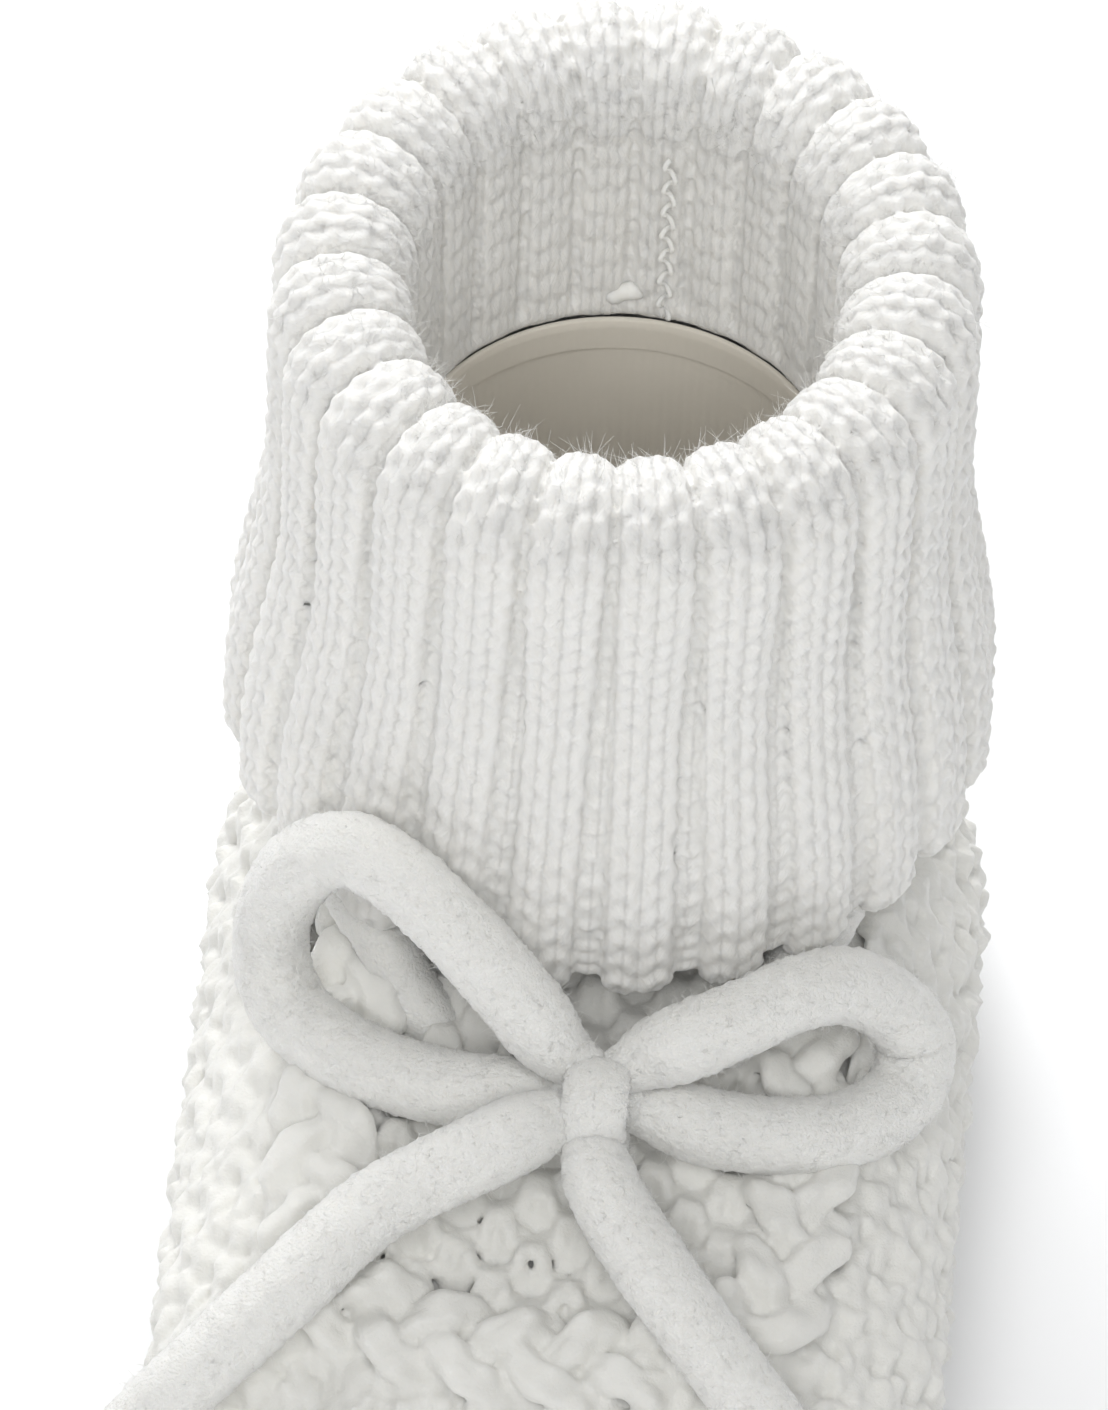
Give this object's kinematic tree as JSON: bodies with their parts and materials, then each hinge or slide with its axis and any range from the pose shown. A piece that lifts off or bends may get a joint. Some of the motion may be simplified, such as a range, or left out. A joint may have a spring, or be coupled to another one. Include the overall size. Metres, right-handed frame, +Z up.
{
  "type": "baby bootie",
  "caption": "Soft knitted baby bootie with a turned-down ribbed cuff and a knitted drawcord tied in a bow at the instep.",
  "frame": {"origin": "under the middle of the foot, on the resting face", "axes": "+Z up the leg, -Y towards the toe, +X across the foot"},
  "size_m": [0.0803, 0.117, 0.084],
  "materials": {
    "foot_knit": "chunky soft ivory yarn, matt with a little halo",
    "rib_knit": "ivory rib knit, matt with bright fibres on the fold",
    "knitted_cord": "brushed ivory tubular knit, matt",
    "lining_cloth": "smooth beige jersey, matt",
    "sewing_yarn": "ivory sewing yarn, matt"
  },
  "bodies": {
    "foot": {"outsole": "foot_knit", "insole": "lining_cloth", "sole_seam": "sewing_yarn", "foot_upper": "foot_knit", "lining": "lining_cloth", "leg_rib": "rib_knit", "back_seam": "sewing_yarn", "drawcord_ankle_run": "knitted_cord", "bow_knot": "knitted_cord"},
    "cuff": {"cuff": "rib_knit"},
    "loop_left": {"bow_loop_left": "knitted_cord"},
    "loop_right": {"bow_loop_right": "knitted_cord"},
    "tail_left": {"cord_tail_left": "knitted_cord"},
    "tail_right": {"cord_tail_right": "knitted_cord"}
  },
  "joints": [
    {"name": "cuff_pull_up", "type": "slide", "parent": "foot", "child": "cuff", "axis": [0, 0, 1], "range_m": [0, 0.012]},
    {"name": "loop_left_lift", "type": "hinge", "parent": "foot", "child": "loop_left", "pos_m": [0.0024, -0.0122, 0.0314], "axis": [1, 0, 0], "range_deg": [0, 30]},
    {"name": "loop_right_lift", "type": "hinge", "parent": "foot", "child": "loop_right", "pos_m": [0.0024, -0.0122, 0.0314], "axis": [1, 0, 0], "range_deg": [0, 30]},
    {"name": "tail_left_lift", "type": "hinge", "parent": "foot", "child": "tail_left", "pos_m": [-0.0015, -0.016, 0.035], "axis": [-0.6112, 0.7915, 0], "range_deg": [0, 40]},
    {"name": "tail_right_lift", "type": "hinge", "parent": "foot", "child": "tail_right", "pos_m": [0.0038, -0.0175, 0.0338], "axis": [-0.9326, -0.361, 0], "range_deg": [0, 40]}
  ]
}
